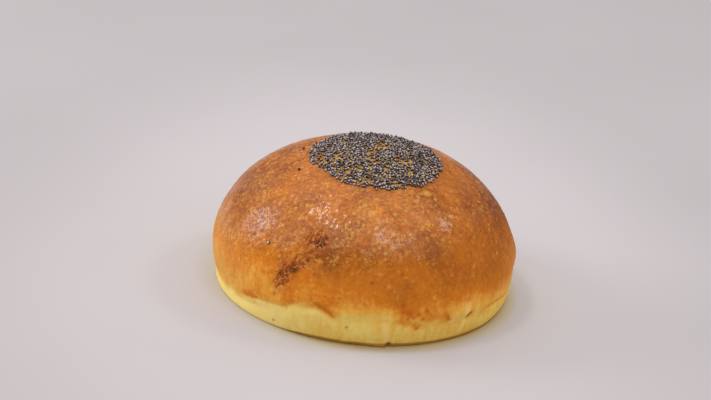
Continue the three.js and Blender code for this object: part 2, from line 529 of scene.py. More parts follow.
def sculptCrust(points, azimuth, isUnder):
    # how far each point moves out, in metres, and the masks that the material reads
    skin = measureCrust(points, azimuth)
    lift = shapeDough(skin)
    scorch, charAndNotchShade, halo = scorchMasks(skin)
    crinkle, glaze = skinMasks(skin, scorch)
    blister, speck, toasted = scatterMarks(skin, crinkle)

    dent = bump(distanceToLine(points, crustMarks["dent"]), 1.3 * mm)
    lift -= crustRelief["dent"] * dent + crustRelief["scorch"] * scorch + crustRelief["charAndNotchShade"] * charAndNotchShade
    crease = np.zeros(len(points))
    for line, depth, width in crustMarks["creases"]:
        mark = bump(distanceToLine(points, line), width * mm)
        lift -= depth * mark
        crease = np.maximum(crease, mark * (depth > 0))

    # fine wrinkles, skin grain and blisters
    wrinkles = 1 - np.abs(noiseAt(points, 2.1 * mm, 2, 1.9)) * 2.4
    lift += crustRelief["wrinkles"] * crinkle * wrinkles
    smoothGrain, wrinkledGrain = crustRelief["grain"]
    grain = noiseAt(points, 1.3 * mm, 1, 4.4) * step(skin.height, 0.2, 4.0)
    lift += (smoothGrain + wrinkledGrain * crinkle) * grain
    lift += crustRelief["blisters"] * blister

    # the underside is flat, with shallow pits that don't reach its edge
    inside = 1 - step(np.hypot(points[:, 0], points[:, 1]), 0.036, 0.0405)
    pits = np.maximum(0, noiseAt(points, 4 * mm, 3, 2.2)) * crustRelief["undersidePits"] + 0.12
    lift = np.where(isUnder, -pits * inside, lift)

    fromPatch = np.hypot(points[:, 0] - patchMiddle.x, points[:, 1] - patchMiddle.y) / mm
    masks = {"browningAndShade": brownAndShadeCrust(skin, dent, crease, halo), "glaze": glaze, "crinkle": crinkle,
             "scorch": scorch, "charAndNotchShade": charAndNotchShade, "blister": blister, "speck": speck, "toasted": toasted,
             "creamMarksAndSheen": creamStreaksAndRimSheen(skin), "underSeeds": 1 - step(fromPatch, 15.5, 19.5)}
    return lift * mm, masks


def addFlatMap(mesh, stops, total, azimuth, firstCrustRing, under):
    # the crust as a disc seen from the crown, the underside as a small disc in the corner
    sides = rollForm["sides"]
    fromCrown = np.append(np.repeat(total - stops, sides), [0, 0])
    fromMiddle = np.append(np.repeat(stops, sides), [0, 0])
    angle = np.append(azimuth, [0, 0])
    crustSize = total - stops[firstCrustRing]
    outward = np.column_stack([np.cos(angle), np.sin(angle)])
    uvCrust = 0.415 + 0.41 * (fromCrown / crustSize)[:, None] * outward
    uvUnder = 0.83 + 0.16 * (fromMiddle / footRadius)[:, None] * outward * (1, -1)
    corners = np.zeros(len(mesh.loops), np.int32)
    mesh.loops.foreach_get("vertex_index", corners)
    sizes = np.zeros(len(mesh.polygons), np.int32)
    mesh.polygons.foreach_get("loop_total", sizes)
    cornerUnder = np.repeat(np.array(under), sizes)
    uv = np.where(cornerUnder[:, None], uvUnder[corners], uvCrust[corners])
    mesh.uv_layers.new(name="OFBake").data.foreach_set("uv", uv.astype(np.float32).ravel())


def makeRoll():
    section = halfSection()
    stops, lengths, firstCrustRing = ringStops(section)
    ringR = np.interp(stops, lengths, section[:, 0])
    ringZ = np.interp(stops, lengths, section[:, 1])
    sides = rollForm["sides"]
    around = np.linspace(-math.pi, math.pi, sides, endpoint=False)
    factor = outOfRound(around)
    x = (ringR[:, None] * (np.cos(around) * factor)[None, :]).ravel()
    y = (ringR[:, None] * (np.sin(around) * factor)[None, :]).ravel()
    z = np.repeat(ringZ, sides)
    points = np.column_stack([x, y, z])
    azimuth = np.tile(around, len(stops))
    ringIndex = np.repeat(np.arange(len(stops)), sides)
    isUnder = ringIndex < firstCrustRing

    # outward direction: across the section's slope
    slopeR = np.gradient(ringR, stops)
    slopeZ = np.gradient(ringZ, stops)
    normals = np.column_stack([np.repeat(slopeZ, sides) * np.cos(azimuth),
                               np.repeat(slopeZ, sides) * np.sin(azimuth),
                               -np.repeat(slopeR, sides)])
    normals[isUnder] = (0, 0, -1)
    normals /= np.linalg.norm(normals, axis=1)[:, None]

    lift, masks = sculptCrust(points, azimuth, isUnder)
    points = points + normals * lift[:, None]
    points[:, 2] = np.maximum(points[:, 2], 0.0)

    # close the two poles with one point each
    bottom = len(points)
    top = bottom + 1
    points = np.vstack([points, [0, 0, points[:sides, 2].mean()], [0, 0, points[-sides:, 2].mean()]])
    masks = {name: np.append(values, [values[:sides].mean(), values[-sides:].mean()])
             for name, values in masks.items()}

    here = np.arange(sides)
    after = np.roll(here, -1)
    faces, under = [], []
    for i in range(sides):
        faces.append((bottom, after[i], here[i]))
        under.append(True)
    for ring in range(len(stops) - 1):
        low, high = ring * sides, (ring + 1) * sides
        faces += list(zip((low + here), (low + after), (high + after), (high + here)))
        under += [ring < firstCrustRing] * sides
    last = (len(stops) - 1) * sides
    for i in range(sides):
        faces.append((last + here[i], last + after[i], top))
        under.append(False)

    mesh = bpy.data.meshes.new("bakedRoll")
    mesh.from_pydata(points.tolist(), [], [tuple(int(v) for v in face) for face in faces])
    mesh.update()
    for name, values in masks.items():
        mesh.attributes.new(name, "FLOAT", "POINT").data.foreach_set("value", values.astype(np.float32))
    mesh.shade_smooth()

    addFlatMap(mesh, stops, lengths[-1], azimuth, firstCrustRing, under)
    crust, underside = makeCrustMaterial(), makeUndersideMaterial()
    mesh.materials.append(crust)
    mesh.materials.append(underside)
    mesh.polygons.foreach_set("material_index", np.array(under, np.int32))
    roll = bpy.data.objects.new("bakedRoll", mesh)
    bpy.context.scene.collection.objects.link(roll)
    return roll


# shared effect: uneven browning from the oven, in lumps of two sizes

def makeOvenMottle():
    number = "NodeSocketFloat"
    group, given, result = newGroup(
        "ovenMottle",
        {"Vector": ("NodeSocketVector", None), "Lump Size": (number, 0.009), "Fleck Size": (number, 0.0022),
         "Fleck Share": (number, 0.45)},
        {"Mottle": (number, None)},
    )
    lumpScale = maths(group, "DIVIDE", (-400, 200), 1.0, given.outputs["Lump Size"])
    fleckScale = maths(group, "DIVIDE", (-400, -200), 1.0, given.outputs["Fleck Size"])
    lumps = addNode(group, "ShaderNodeTexNoise", (-200, 200),
                    {"Vector": given.outputs["Vector"], "Scale": lumpScale, "Detail": 3.0}).outputs[0]
    flecks = addNode(group, "ShaderNodeTexNoise", (-200, -200),
                     {"Vector": given.outputs["Vector"], "Scale": fleckScale, "Detail": 4.0,
                      "Roughness": 0.6, "Distortion": 0.4}).outputs[0]
    both = addNode(group, "ShaderNodeMix", (100, 0),
                   {0: given.outputs["Fleck Share"], 2: lumps, 3: flecks}).outputs[0]
    centred = maths(group, "SUBTRACT", (300, 0), both, 0.5)
    wide = maths(group, "MULTIPLY", (500, 0), centred, 2.0)
    group.links.new(wide, result.inputs["Mottle"])
    return group


ovenMottle = makeOvenMottle()


def mottle(tree, at, vector, lump, fleck, share):
    node = addNode(tree, "ShaderNodeGroup", at, node_tree=ovenMottle)
    tree.links.new(vector, node.inputs["Vector"])
    node.inputs["Lump Size"].default_value = lump * mm
    node.inputs["Fleck Size"].default_value = fleck * mm
    node.inputs["Fleck Share"].default_value = share
    return node.outputs["Mottle"]


crustFinish = {
    # from the soft foot to the darkest crust: position, colour
    "bake": [(0.0, (0.785, 0.615, 0.18)), (0.1, (0.745, 0.52, 0.11)), (0.22, (0.71, 0.36, 0.05)),
             (0.42, (0.57, 0.170, 0.009)), (0.62, (0.435, 0.126, 0.008)), (0.8, (0.30, 0.080, 0.006)),
             (1.0, (0.19, 0.042, 0.005))],
    "unevenness": (0.3, 0.66),  # on the foot, on the dome
    "paleGold": (0.70, 0.37, 0.07),
    "scorchRed": (0.37, 0.076, 0.011),
    "scorchDark": (0.20, 0.036, 0.005),
    # burnt spots, and painted shade in the torn notch
    "charBrownAndNotchShade": (0.055, 0.010, 0.004),
    # painted sheen: a faint pale veil over the glazed crust, standing in for the glaze's broad reflection
    "paintedGlazeSheen": (0.70, 0.45, 0.36),
    "toastedRust": (0.38, 0.07, 0.006),
    # cream of the pale streaks and of the painted rim sheen
    "creamAndRimSheen": (0.86, 0.70, 0.27),
    # browned edge and painted contact shade
    "sheetEdgeAndShadeBrown": (0.33, 0.12, 0.006),
    "sheetLine": (1.75, 1.2),  # mm above the sheet: where the browned and shaded line begins, where it is full
    "underSeedGold": (0.60, 0.40, 0.06),
    "underSeedBrown": (0.44, 0.19, 0.02),
    "coat": 0.9,
    "coatRoughness": 0.14,
    "glazedRoughness": 0.4,
    "softRoughness": 0.85,
    "specular": 0.16,
    "wrinkleSize": 0.95,  # sizes and heights in mm
    "wrinkleHeight": 0.55,
    "squiggleSize": 1.5,
    "hollowDarkening": 0.42,
    "fibres": 0.24,
    "fibreSize": 1.5,
    "dotSize": 1.6,
    "scorchSize": 0.9,  # of the dark blotches in the scorched patches
}


def opaque(colour):
    return (*colour, 1.0)


def bakeColour(tree, place, masks, wrinkle):
    # pale foot to deep crust, with uneven browning that is stronger on the dome
    uneven = mottle(tree, (-2500, 1200), place, 8.0, 1.1, 0.5)
    onFoot, onDome = crustFinish["unevenness"]
    onSide = fade(tree, (-2700, 1400), masks["crinkle"], 0.1, 0.7, 0.6, 1.0)
    byBrowning = fade(tree, (-2500, 1500), masks["browningAndShade"], 0.1, 0.5, onFoot, onDome)
    strength = maths(tree, "MULTIPLY", (-2400, 1400), onSide, byBrowning)
    tone = maths(tree, "MULTIPLY_ADD", (-2300, 1200), uneven, strength, masks["browningAndShade"])
    # upright fibres where the side stretched as it rose
    upright = addNode(tree, "ShaderNodeMapping", (-2500, 1000), {"Vector": place, "Scale": (1.0, 1.0, 0.2)})
    threads = cloud(tree, (-2300, 1000), upright.outputs[0], crustFinish["fibreSize"] * mm, 3.0)
    fibres = maths(tree, "SUBTRACT", (-2100, 1000), threads, 0.5)
    stretched = fade(tree, (-2300, 800), masks["crinkle"], 0.8, 0.1, 0.06, crustFinish["fibres"])
    tone = maths(tree, "MULTIPLY_ADD", (-2000, 1200), fibres, stretched, tone)
    # darker in the hollows between the wrinkles, paler on their crests
    wrinkled = maths(tree, "MULTIPLY", (-2300, 1500), wrinkle, masks["crinkle"])
    deeper = maths(tree, "MULTIPLY", (-2200, 1400), wrinkled, -crustFinish["hollowDarkening"])
    tone = maths(tree, "ADD", (-2000, 1300), tone, deeper)
    ramp = addNode(tree, "ShaderNodeValToRGB", (-1900, 1200), {0: tone})
    elements = ramp.color_ramp.elements
    while len(elements) < len(crustFinish["bake"]):
        elements.new(0.5)
    for element, (position, colour) in zip(elements, crustFinish["bake"]):
        element.position = position
        element.color = opaque(colour)
    return ramp.outputs[0]


def wavyPlace(tree, place):
    # places pushed about a little, so that cells get ragged edges
    push = addNode(tree, "ShaderNodeTexNoise", (-2600, 600), {"Vector": place, "Scale": 1 / (1.6 * mm)})
    shift = addNode(tree, "ShaderNodeVectorMath", (-2400, 600),
                    {0: push.outputs["Color"], 1: (1.1 * mm,) * 3}, operation="MULTIPLY")
    return addNode(tree, "ShaderNodeVectorMath", (-2200, 600), {0: place, 1: shift.outputs[0]},
                   operation="ADD").outputs[0]


def paleDots(tree, wavy, crinkle):
    # small pale blisters over the dome, each its own size
    size = crustFinish["dotSize"] * mm
    cells = addNode(tree, "ShaderNodeTexVoronoi", (-1900, 700), {"Vector": wavy, "Scale": 1 / size})
    sizeDice = addNode(tree, "ShaderNodeSeparateColor", (-1700, 600), {0: cells.outputs["Color"]}).outputs[0]
    reach = maths(tree, "MULTIPLY_ADD", (-1500, 600), sizeDice, 0.5, 0.06)
    inner = maths(tree, "MULTIPLY", (-1500, 450), reach, 0.3)
    dots = fade(tree, (-1300, 700), cells.outputs["Distance"], reach, inner)
    return maths(tree, "MULTIPLY", (-1100, 700), dots, fade(tree, (-1300, 850), crinkle, 0.05, 0.6))


def wrinkleField(tree, wavy):
    # the fine wrinkles' height around 0, and the distance to the line between hills and hollows
    field = cloud(tree, (-1900, 200), wavy, crustFinish["wrinkleSize"] * mm, 1.0, 0.5)
    height = maths(tree, "SUBTRACT", (-1700, 200), field, 0.5)
    return height, maths(tree, "ABSOLUTE", (-1500, 200), height)


def scorchMarks(tree, wavy, masks):
    # ragged dark blotches, closer together where it scorched more, and golden threads between them
    upright = addNode(tree, "ShaderNodeMapping", (-2050, -200), {"Vector": wavy, "Scale": (1.0, 1.0, 0.62)})
    size = crustFinish["scorchSize"] * mm
    field = cloud(tree, (-1900, -200), upright.outputs[0], size, 3.0, 0.6)
    scorched = fade(tree, (-1700, -650), masks["scorch"], 0.05, 0.8)
    raised = maths(tree, "MULTIPLY_ADD", (-1700, -300), masks["scorch"], 0.36, field)
    blotches = fade(tree, (-1500, -300), raised, 0.69, 0.82)
    strands = cloud(tree, (-1900, -500), upright.outputs[0], 1.4 * size, 2.0)
    fromThread = maths(tree, "ABSOLUTE", (-1500, -500), maths(tree, "SUBTRACT", (-1700, -500), strands, 0.5))
    thin = fade(tree, (-1300, -500), fromThread, 0.045, 0.01)
    return scorched, blotches, maths(tree, "MULTIPLY", (-1100, -500), thin, scorched)


def sheetEdgeAndContactShade(tree, place):
    # browned line where the skin touched the baking sheet, with painted contact shade; it thins out towards
    # the left, where more light reaches
    parts = addNode(tree, "ShaderNodeSeparateXYZ", (-2300, -900), {0: place})
    thinner = fade(tree, (-2300, -650), parts.outputs[0], -10 * mm, -30 * mm, 0.0, 1.5 * mm)
    height = maths(tree, "ADD", (-2200, -750), parts.outputs[2], thinner)
    uneven = cloud(tree, (-2300, -1050), place, 3 * mm)
    wobble = maths(tree, "MULTIPLY_ADD", (-2100, -900), uneven, 0.6 * mm, height)
    begins, full = crustFinish["sheetLine"]
    return fade(tree, (-1900, -900), wobble, begins * mm, full * mm)


def brushedGlaze(tree, place, wavy, glaze):
    # the glaze shines along fine squiggles and is duller between them
    strokes = cloud(tree, (-1900, -1200), place, 2.6 * mm, 3.0)
    brushed = fade(tree, (-1700, -1200), strokes, 0.3, 0.6, 0.55, 1.0)
    field = cloud(tree, (-2300, -1400), wavy, crustFinish["squiggleSize"] * mm, 2.0)
    fromLine = maths(tree, "ABSOLUTE", (-1900, -1400), maths(tree, "SUBTRACT", (-2100, -1400), field, 0.5))
    squiggle = fade(tree, (-1700, -1400), fromLine, 0.1, 0.03, 0.12, 1.0)
    covered = maths(tree, "MULTIPLY", (-1600, -1150), glaze, brushed)
    return maths(tree, "MULTIPLY", (-1500, -1150), covered, squiggle)


def makeCrustMaterial():
    material, tree, shader = newMaterial("bakedCrust")
    place = addNode(tree, "ShaderNodeTexCoord", (-2900, 0)).outputs["Object"]
    names = ("browningAndShade", "glaze", "crinkle", "scorch", "charAndNotchShade", "blister", "speck", "toasted", "creamMarksAndSheen",
             "underSeeds")
    masks = {name: readMask(tree, (-2900, 1200 - 200 * row), name) for row, name in enumerate(names)}
    wavy = wavyPlace(tree, place)
    dots = paleDots(tree, wavy, masks["crinkle"])
    wrinkle, fromLine = wrinkleField(tree, wavy)
    scorched, blotches, threads = scorchMarks(tree, wavy, masks)

    # short pale lines along some of the wrinkles
    crest = fade(tree, (-1300, 200), fromLine, 0.08, 0.01)
    broken = fade(tree, (-1300, 0), cloud(tree, (-1500, 0), place, 2.4 * mm, 2.0), 0.4, 0.62)
    pieces = maths(tree, "MULTIPLY", (-1100, 100), crest, broken)
    paleLines = maths(tree, "MULTIPLY", (-900, 100), pieces, masks["crinkle"])
    faintDots = maths(tree, "MULTIPLY", (-1000, 600), dots, 0.65)
    paleSpots = maths(tree, "MAXIMUM", (-900, 700), faintDots, masks["blister"])

    layers = [  # mask, strength, colour, laid one over another
        # painted sheen over the glazed parts
        (masks["glaze"], 0.07, "paintedGlazeSheen"),
        (paleSpots, 0.75, "paleGold"),
        (paleLines, 0.5, "paleGold"),
        (scorched, 0.7, "scorchRed"),
        (blotches, 0.75, "scorchDark"),
        # burnt spots, and painted shade in the torn notch
        (masks["charAndNotchShade"], 0.85, "charBrownAndNotchShade"),
        (threads, 0.55, "paleGold"),
        # pale streaks and painted rim sheen
        (masks["creamMarksAndSheen"], 0.6, "creamAndRimSheen"),
        (masks["speck"], 0.75, "scorchDark"),
        (masks["toasted"], 0.9, "toastedRust"),
    ]
    colour = bakeColour(tree, place, masks, wrinkle)
    for column, (mask, strength, name) in enumerate(layers):
        x = -700 + 150 * column
        share = maths(tree, "MULTIPLY", (x - 80, 500), mask, strength)
        colour = mixColours(tree, (x, 700), share, colour, opaque(crustFinish[name]))
    patchy = fade(tree, (300, 900), cloud(tree, (100, 900), place, 3 * mm, 3.0), 0.4, 0.6)
    between = mixColours(tree, (500, 900), patchy, opaque(crustFinish["underSeedGold"]),
                         opaque(crustFinish["underSeedBrown"]))
    covered = maths(tree, "MULTIPLY", (500, 750), masks["underSeeds"], 0.8)
    colour = mixColours(tree, (650, 850), covered, colour, between)
    # browned edge and painted contact shade along the bottom
    contactShadeShare = maths(tree, "MULTIPLY", (620, 500), sheetEdgeAndContactShade(tree, place), 0.8)
    colour = mixColours(tree, (700, 700), contactShadeShare, colour, opaque(crustFinish["sheetEdgeAndShadeBrown"]))
    tree.links.new(colour, shader.inputs["Base Color"])

    # glaze on the dome, none on the soft side and foot
    glaze = brushedGlaze(tree, place, wavy, masks["glaze"])
    coat = maths(tree, "MULTIPLY", (-1300, -1150), glaze, crustFinish["coat"])
    rough = fade(tree, (-1300, -1350), glaze, 0.0, 0.9, crustFinish["softRoughness"],
                 crustFinish["glazedRoughness"])
    tree.links.new(coat, shader.inputs["Coat Weight"])
    tree.links.new(rough, shader.inputs["Roughness"])
    shader.inputs["Coat Roughness"].default_value = crustFinish["coatRoughness"]
    shader.inputs["Specular IOR Level"].default_value = crustFinish["specular"]

    # fine relief in metres: wrinkles, dots, skin grain and the cracks of the scorched patches
    wrinkled = maths(tree, "MULTIPLY", (-1300, -1600), wrinkle, masks["crinkle"])
    relief = maths(tree, "MULTIPLY", (-1100, -1600), wrinkled, crustFinish["wrinkleHeight"] * mm)
    grain = cloud(tree, (-1300, -1800), place, 0.5 * mm, 2.0)
    for row, (height, amount) in enumerate(((dots, 0.05), (grain, 0.04), (blotches, -0.06))):
        relief = maths(tree, "MULTIPLY_ADD", (-900 + 200 * row, -1650), height, amount * mm, relief)
    skin = addNode(tree, "ShaderNodeBump", (600, -600), {"Height": relief, "Strength": 1.0, "Distance": 1.0})
    tree.links.new(skin.outputs[0], shader.inputs["Normal"])
    return material


undersideFinish = {
    "bakedBrown": (0.36, 0.17, 0.055),
    "darkBrown": (0.22, 0.085, 0.025),
    "flourPale": (0.55, 0.36, 0.16),
    "roughness": 0.85,
    "pitSpacing": 3.2,  # mm
    "reliefHeight": 0.15,
}


def makeUndersideMaterial():
    material, tree, shader = newMaterial("bakedUnderside")
    place = addNode(tree, "ShaderNodeTexCoord", (-1200, 0)).outputs["Object"]
    uneven = mottle(tree, (-1000, 200), place, 14.0, 2.5, 0.4)
    tone = maths(tree, "MULTIPLY_ADD", (-800, 200), uneven, 0.6, 0.5, clamp=True)
    colour = mixColours(tree, (-600, 200), tone, opaque(undersideFinish["bakedBrown"]),
                        opaque(undersideFinish["darkBrown"]))
    pores = addNode(tree, "ShaderNodeTexVoronoi", (-1000, -200),
                    {"Vector": place, "Scale": 1 / (undersideFinish["pitSpacing"] * mm)})
    pit = fade(tree, (-800, -200), pores.outputs["Distance"], 0.3, 0.12)
    floury = maths(tree, "MULTIPLY", (-600, -50), pit, 0.6)
    colour = mixColours(tree, (-400, 200), floury, colour, opaque(undersideFinish["flourPale"]))
    tree.links.new(colour, shader.inputs["Base Color"])
    shader.inputs["Roughness"].default_value = undersideFinish["roughness"]
    grain = cloud(tree, (-1000, -500), place, 0.8 * mm, 4.0, 0.6)
    depth = maths(tree, "MULTIPLY_ADD", (-600, -400), pit, -1.2, grain)
    relief = addNode(tree, "ShaderNodeBump", (-400, -400),
                     {"Height": depth, "Strength": 0.6, "Distance": undersideFinish["reliefHeight"] * mm})
    tree.links.new(relief.outputs[0], shader.inputs["Normal"])
    return material


roll = makeRoll()
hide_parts("roll")
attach(roll, "root")
print("bread roll: crust", len(roll.data.vertices), "points,", len(roll.data.polygons), "faces")


# poppy seeds

seedPatch = {
    "seedLength": 1.0,
    "seedWidth": 0.76,
    "seedThickness": 0.92,  # share of the width
    "seedBend": 0.16,  # kidney shape
    "seedSegments": 8,
    "seedRings": 6,
    "sizeSpread": (0.84, 1.12),
    "densest": 9.0e6,  # seeds to a square metre, before the spacing thins them out
    "spacing": 0.69,
    "upperSpacing": 1.2,  # the few seeds that lie on others
    "upperRise": 2.1,  # how much higher those lie, as a multiple
    "tilt": 0.35,  # radians
    "upperTilt": 0.5,
    "sink": 0.12,  # how deep the seeds sit in the glaze
    "rimInset": 0.7,  # from the patch's rim to the middle of the outermost seeds
    "edgeWaves": [(0.014, 5, 40), (0.01, 9, 0), (0.012, 16, 20), (0.01, 27, 70)],
    # thin places: x, y, reach along x, reach along y, how bare
    "thinPlaces": [(0.3, -3.4, 3.0, 2.6, 0.75), (2.6, 0.4, 2.4, 2.0, 0.6), (0.5, -8.3, 2.2, 2.4, 0.6),
                   (-14.2, -9.4, 2.2, 2.0, 0.8), (-12.0, -12.2, 2.4, 1.4, 0.6), (-9.4, -9.0, 2.0, 1.8, 0.75),
                   (-4.4, -14.0, 1.1, 1.4, 0.7), (-7.3, -15.9, 1.2, 1.2, 0.7), (6.6, -9.4, 1.8, 1.2, 0.75),
                   (10.0, -8.4, 2.0, 1.0, 0.5), (-7.3, 1.0, 1.6, 2.0, 0.6), (-12.4, -1.8, 1.6, 1.6, 0.55)],
    "seed": 12,
}

seedFinish = {
    "slate": (0.034, 0.028, 0.034),
    "umber": (0.030, 0.014, 0.008),
    # greyish bloom, also the painted light on the seeds' upper sides
    "bloomAndPaintedLight": (0.58, 0.50, 0.45),
    "tan": (0.50, 0.32, 0.17),  # a few unripe seeds
    "roughness": 0.32,
    "specular": 0.85,
}


def makeSeedMaterial():
    material, tree, shader = newMaterial("poppySeedShell")
    place = addNode(tree, "ShaderNodeTexCoord", (-1200, 0)).outputs["Object"]
    tone = readMask(tree, (-1200, 300), "seedTone")
    kind = fade(tree, (-1000, 300), tone, 0.1, 0.9)
    colour = mixColours(tree, (-700, 300), kind, opaque(seedFinish["umber"]), opaque(seedFinish["slate"]))
    # the seeds' backs are paler: a greyish bloom with painted light on the upper side, more on some than on
    # others
    bloomPatches = fade(tree, (-1000, 100), cloud(tree, (-1200, 100), place, 0.7 * mm, 2.0), 0.38, 0.62)
    onBack = fade(tree, (-1000, -50), readMask(tree, (-1200, -50), "seedBack"), 0.1, 0.45)
    bloomAndPaintedLight = maths(tree, "MULTIPLY", (-800, 50), bloomPatches, onBack)
    bloomAndLightShare = maths(tree, "MULTIPLY", (-700, 100), bloomAndPaintedLight, 0.95)
    colour = mixColours(tree, (-500, 300), bloomAndLightShare, colour, opaque(seedFinish["bloomAndPaintedLight"]))
    unripe = fade(tree, (-700, 500), tone, 0.985, 0.99)
    colour = mixColours(tree, (-300, 300), unripe, colour, opaque(seedFinish["tan"]))
    tree.links.new(colour, shader.inputs["Base Color"])
    shader.inputs["Roughness"].default_value = seedFinish["roughness"]
    shader.inputs["Specular IOR Level"].default_value = seedFinish["specular"]
    # the fine net of ridges on a seed's shell
    net = addNode(tree, "ShaderNodeTexVoronoi", (-1000, -300), {"Vector": place, "Scale": 1 / (0.2 * mm)},
                  feature="DISTANCE_TO_EDGE").outputs["Distance"]
    relief = addNode(tree, "ShaderNodeBump", (-600, -300),
                     {"Height": net, "Strength": 0.5, "Distance": 0.03 * mm}, invert=True)
    tree.links.new(relief.outputs[0], shader.inputs["Normal"])
    return material


def geometryTree(name, inputs):
    tree = bpy.data.node_groups.new(name, "GeometryNodeTree")
    tree.interface.new_socket("Geometry", in_out="INPUT", socket_type="NodeSocketGeometry")
    identifiers = {}
    for socketName, (kind, default) in inputs.items():
        socket = tree.interface.new_socket(socketName, in_out="INPUT", socket_type=kind)
        socket.default_value = default
        identifiers[socketName] = socket.identifier
    tree.interface.new_socket("Geometry", in_out="OUTPUT", socket_type="NodeSocketGeometry")
    given = addNode(tree, "NodeGroupInput", (-1400, 0))
    result = addNode(tree, "NodeGroupOutput", (1600, 0))
    return tree, given, result, identifiers


def seedShape(tree, at, given):
    # a kidney: a ball stretched along X and bent sideways
    x, y = at
    ball = addNode(tree, "GeometryNodeMeshUVSphere", (x, y), {
        "Segments": seedPatch["seedSegments"], "Rings": seedPatch["seedRings"], "Radius": 0.5})
    where = addNode(tree, "GeometryNodeInputPosition", (x, y - 200))
    parts = addNode(tree, "ShaderNodeSeparateXYZ", (x + 150, y - 200), {0: where.outputs[0]})
    along = maths(tree, "MULTIPLY", (x + 300, y - 150), parts.outputs[0], given.outputs["Seed Length"])
    square = maths(tree, "MULTIPLY", (x + 300, y - 300), parts.outputs[0], parts.outputs[0])
    bend = maths(tree, "MULTIPLY", (x + 450, y - 300), square, given.outputs["Seed Bend"])
    side = maths(tree, "SUBTRACT", (x + 600, y - 300), parts.outputs[1], bend)
    across = maths(tree, "MULTIPLY", (x + 750, y - 300), side, given.outputs["Seed Width"])
    thickness = maths(tree, "MULTIPLY", (x + 450, y - 450), given.outputs["Seed Width"],
                      seedPatch["seedThickness"])
    tall = maths(tree, "MULTIPLY", (x + 600, y - 450), parts.outputs[2], thickness)
    joined = addNode(tree, "ShaderNodeCombineXYZ", (x + 900, y - 200), {0: along, 1: across, 2: tall})
    marked = addNode(tree, "GeometryNodeStoreNamedAttribute", (x + 750, y),
                     {"Geometry": ball.outputs["Mesh"], "Name": "seedBack", "Value": parts.outputs[2]},
                     data_type="FLOAT", domain="POINT").outputs[0]
    shaped = addNode(tree, "GeometryNodeSetPosition", (x + 1050, y),
                     {"Geometry": marked, "Position": joined.outputs[0]})
    smooth = addNode(tree, "GeometryNodeSetShadeSmooth", (x + 1200, y), {"Geometry": shaped.outputs[0]})
    return smooth.outputs[0]


def seedLayer(tree, at, given, seedMesh, spacing, rise, tilt, offset):
    # seeds on their sides, turned at random, a given distance apart; offset gives a layer its own dice
    x, y = at
    number = maths(tree, "ADD", (x - 200, y - 300), given.outputs["Seed"], offset)
    cover = addNode(tree, "GeometryNodeInputNamedAttribute", (x - 200, y - 100), {"Name": "cover"},
                    data_type="FLOAT")
    spread = addNode(tree, "GeometryNodeDistributePointsOnFaces", (x, y),
                     {"Mesh": given.outputs["Geometry"], "Distance Min": spacing,
                      "Density Max": seedPatch["densest"], "Density Factor": cover.outputs[0],
                      "Seed": number}, distribute_method="POISSON")
    out = addNode(tree, "ShaderNodeVectorMath", (x + 200, y - 150), {0: spread.outputs["Normal"], 3: rise},
                  operation="SCALE").outputs[0]
    raised = addNode(tree, "GeometryNodeSetPosition", (x + 350, y),
                     {"Geometry": spread.outputs["Points"], "Offset": out})
    turnNumber = maths(tree, "ADD", (x, y - 350), number, 1.0)
    turn = addNode(tree, "FunctionNodeRandomValue", (x + 200, y - 350),
                   {0: (-tilt, -tilt, 0.0), 1: (tilt, tilt, 2 * math.pi), "Seed": turnNumber},
                   data_type="FLOAT_VECTOR")
    turned = addNode(tree, "FunctionNodeRotateRotation", (x + 400, y - 300),
                     {0: spread.outputs["Rotation"], 1: turn.outputs[0]}, rotation_space="LOCAL")
    smallest, largest = seedPatch["sizeSpread"]
    sizeNumber = maths(tree, "ADD", (x + 200, y - 550), number, 2.0)
    size = addNode(tree, "FunctionNodeRandomValue", (x + 400, y - 500),
                   {2: smallest, 3: largest, "Seed": sizeNumber}, data_type="FLOAT")
    placed = addNode(tree, "GeometryNodeInstanceOnPoints", (x + 600, y),
                     {"Points": raised.outputs[0], "Instance": seedMesh, "Rotation": turned.outputs[0],
                      "Scale": size.outputs[1]})
    toneNumber = maths(tree, "ADD", (x + 400, y - 700), number, 3.0)
    tone = addNode(tree, "FunctionNodeRandomValue", (x + 600, y - 300),
                   {2: 0.0, 3: 1.0, "Seed": toneNumber}, data_type="FLOAT")
    return addNode(tree, "GeometryNodeStoreNamedAttribute", (x + 800, y),
                   {"Geometry": placed.outputs[0], "Name": "seedTone", "Value": tone.outputs[1]},
                   data_type="FLOAT", domain="INSTANCE").outputs[0]


def makeSeedTree(material):
    length, number = "NodeSocketFloat", "NodeSocketInt"
    tree, given, result, identifiers = geometryTree("poppySeedScatter", {
        "Seed Length": (length, 0.001), "Seed Width": (length, 0.0008), "Seed Bend": (length, 0.15),
        "Spacing": (length, 0.0008), "Upper Spacing": (length, 0.0015), "Rise": (length, 0.0003),
        "Seed": (number, 1)})
    seedMesh = seedShape(tree, (-1200, 600), given)
    rise = given.outputs["Rise"]
    higher = maths(tree, "MULTIPLY", (-600, -500), rise, seedPatch["upperRise"])
    lower = seedLayer(tree, (-400, 300), given, seedMesh, given.outputs["Spacing"], rise,
                      seedPatch["tilt"], 0)
    upper = seedLayer(tree, (-400, -600), given, seedMesh, given.outputs["Upper Spacing"], higher,
                      seedPatch["upperTilt"], 10)
    both = addNode(tree, "GeometryNodeJoinGeometry", (900, 0))
    tree.links.new(lower, both.inputs[0])
    tree.links.new(upper, both.inputs[0])
    real = addNode(tree, "GeometryNodeRealizeInstances", (1100, 0), {"Geometry": both.outputs[0]})
    dressed = addNode(tree, "GeometryNodeSetMaterial", (1300, 0),
                      {"Geometry": real.outputs[0], "Material": material})
    tree.links.new(dressed.outputs[0], result.inputs[0])
    return tree, identifiers


